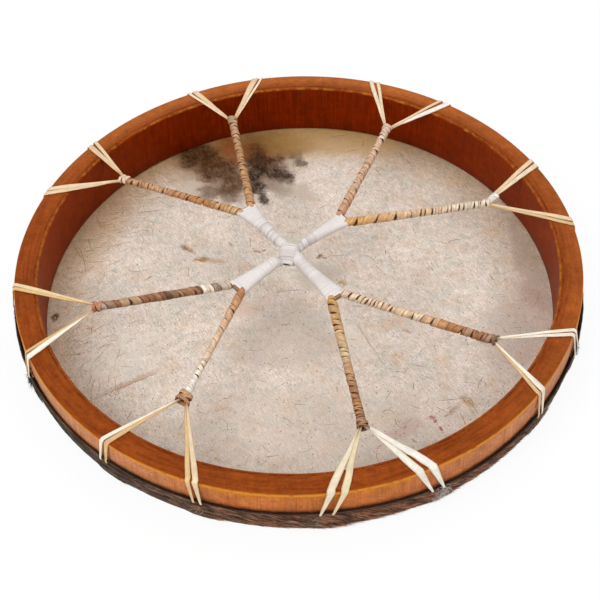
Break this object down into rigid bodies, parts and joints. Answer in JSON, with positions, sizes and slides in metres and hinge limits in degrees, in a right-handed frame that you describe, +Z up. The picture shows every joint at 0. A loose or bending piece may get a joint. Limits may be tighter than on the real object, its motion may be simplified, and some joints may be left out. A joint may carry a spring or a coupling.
{
  "type": "shaman drum",
  "caption": "Round frame drum with a bent-wood hoop, a hair-on rawhide head laced over it, and a net of wrapped lace spokes at the open back that meet in a cross-shaped hand grip",
  "frame": {"origin": "middle of the head's playing face, on the surface that the drum lies on, head down", "axes": "+Z up, out of the open back; +Y away from the picture's camera; +X to its right"},
  "size_m": [0.5076, 0.5076, 0.0635],
  "materials": {
    "stained_hardwood": "red-brown stain under a satin varnish",
    "rawhide_head": "dried goat rawhide, hair left on the folded edge",
    "rawhide_lace": "cream rawhide lace, dried hard",
    "tan_rawhide_strip": "tan rawhide strip with dark edges",
    "white_hide_strip": "white matt hide strip"
  },
  "bodies": {
    "root": {"hoop": "stained_hardwood", "drumhead": "rawhide_head", "spoke_core_1": "rawhide_lace", "spoke_wrap_1": "tan_rawhide_strip", "lace_tail_1a": "rawhide_lace", "lace_tail_1b": "rawhide_lace", "spoke_core_2": "rawhide_lace", "spoke_wrap_2": "tan_rawhide_strip", "lace_tail_2a": "rawhide_lace", "lace_tail_2b": "rawhide_lace", "spoke_core_3": "rawhide_lace", "spoke_wrap_3": "tan_rawhide_strip", "lace_tail_3a": "rawhide_lace", "lace_tail_3b": "rawhide_lace", "spoke_core_4": "rawhide_lace", "spoke_wrap_4": "tan_rawhide_strip", "lace_tail_4a": "rawhide_lace", "lace_tail_4b": "rawhide_lace", "spoke_core_5": "rawhide_lace", "spoke_wrap_5": "tan_rawhide_strip", "lace_tail_5a": "rawhide_lace", "lace_tail_5b": "rawhide_lace", "spoke_core_6": "rawhide_lace", "spoke_wrap_6": "tan_rawhide_strip", "lace_tail_6a": "rawhide_lace", "lace_tail_6b": "rawhide_lace", "spoke_core_7": "rawhide_lace", "spoke_wrap_7": "tan_rawhide_strip", "lace_tail_7a": "rawhide_lace", "lace_tail_7b": "rawhide_lace", "spoke_core_8": "rawhide_lace", "spoke_wrap_8": "tan_rawhide_strip", "lace_tail_8a": "rawhide_lace", "lace_tail_8b": "rawhide_lace", "grip_core_upper": "rawhide_lace", "grip_core_lower": "rawhide_lace", "grip_wrap_1": "white_hide_strip", "grip_wrap_2": "white_hide_strip", "grip_wrap_3": "white_hide_strip", "grip_wrap_4": "white_hide_strip", "grip_crossing_lashing": "white_hide_strip"}
  },
  "joints": []
}
